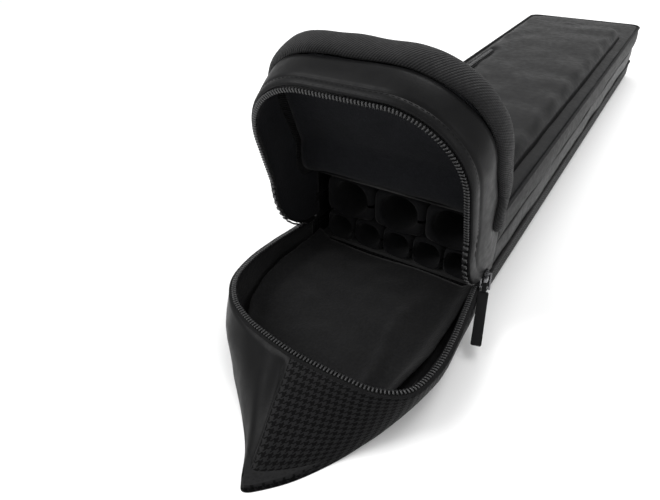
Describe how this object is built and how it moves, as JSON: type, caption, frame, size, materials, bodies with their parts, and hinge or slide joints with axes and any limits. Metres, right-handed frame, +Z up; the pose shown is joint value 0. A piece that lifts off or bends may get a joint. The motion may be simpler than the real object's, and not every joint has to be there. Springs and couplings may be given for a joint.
{
  "type": "cue case",
  "caption": "Soft billiard cue case lying on its back with its zipped hood open over the mouth, lined sleeves inside, a flat front pocket and a side carry handle.",
  "frame": {"origin": "on the outside of the back panel, on the centre line, under the plane 3 mm in front of the sleeve mouths", "axes": "+Z up out of the front of the case, +Y along the case from the mouth to the far end, +X to the right seen from the mouth"},
  "size_m": [0.2157, 0.94, 0.2159],
  "materials": {
    "woven_vinyl": "textured black vinyl with a small woven check",
    "smooth_vinyl": "smooth satin black vinyl",
    "board": "matt black polyethylene board",
    "lining": "dark brushed knit lining",
    "foam": "closed-cell foam",
    "tape": "black woven zip tape",
    "zip_teeth": "glossy black moulded teeth",
    "slider_metal": "gunmetal",
    "pull_vinyl": "smooth black vinyl, cut edge",
    "ribbed_webbing": "ribbed black webbing",
    "sleeve_lining": "soft black nylon over foam"
  },
  "bodies": {
    "case": {"base_shell": "woven_vinyl", "side_gusset_left": "smooth_vinyl", "side_gusset_right": "smooth_vinyl", "end_gusset": "smooth_vinyl", "front_panel": "smooth_vinyl", "base_board": "board", "front_board": "board", "shaft_sleeve_1": "sleeve_lining", "shaft_sleeve_2": "sleeve_lining", "shaft_sleeve_3": "sleeve_lining", "shaft_sleeve_4": "sleeve_lining", "shaft_sleeve_5": "sleeve_lining", "butt_sleeve_1": "sleeve_lining", "butt_sleeve_2": "sleeve_lining", "butt_sleeve_3": "sleeve_lining", "end_pad": "foam", "pocket_gusset": "smooth_vinyl", "pocket_panel": "smooth_vinyl", "pocket_zip_tape": "tape", "pocket_zip_teeth": "zip_teeth", "emblem_patch": "smooth_vinyl", "zip_slider": "slider_metal", "zip_end_stop": "slider_metal", "carry_handle": "ribbed_webbing", "handle_anchors": "pull_vinyl"},
    "lip": {"lip_shell": "woven_vinyl", "lip_lining": "lining", "lip_zip_tape": "tape", "lip_zip_teeth": "zip_teeth"},
    "hood": {"hood_wall": "smooth_vinyl", "hood_band": "ribbed_webbing", "hood_top": "smooth_vinyl", "hood_lining": "lining", "hood_zip_tape": "tape", "hood_zip_teeth": "zip_teeth"},
    "pull_link": {"zip_pull_link": "slider_metal"},
    "pull_tab": {"zip_pull_tab": "pull_vinyl"},
    "pocket_slider": {"pocket_slider": "slider_metal"},
    "pocket_pull": {"pocket_pull": "slider_metal"}
  },
  "joints": [
    {"name": "lip_fold", "type": "hinge", "parent": "case", "child": "lip", "pos_m": [0, -0.0202, 0], "axis": [1, 0, 0], "range_deg": [0, 40]},
    {"name": "hood_hinge", "type": "hinge", "parent": "case", "child": "hood", "pos_m": [0, -0.006, 0.08], "axis": [-1, 0, 0], "range_deg": [-65, 35]},
    {"name": "link_swing", "type": "hinge", "parent": "case", "child": "pull_link", "pos_m": [0.09, -0.018, 0.039], "axis": [-0.9613, -0.2756, 0], "range_deg": [0, 60]},
    {"name": "tab_swing", "type": "hinge", "parent": "pull_link", "child": "pull_tab", "pos_m": [0.09289, -0.02809, 0.03318], "axis": [-0.9613, -0.2756, 0], "range_deg": [0, 25]},
    {"name": "pocket_slide", "type": "slide", "parent": "case", "child": "pocket_slider", "axis": [0, 1, 0], "range_m": [0, 0.27]},
    {"name": "pocket_pull_swing", "type": "hinge", "parent": "pocket_slider", "child": "pocket_pull", "pos_m": [-0.058, 0.098, 0.0996], "axis": [1, 0, 0], "range_deg": [0, 150]}
  ]
}
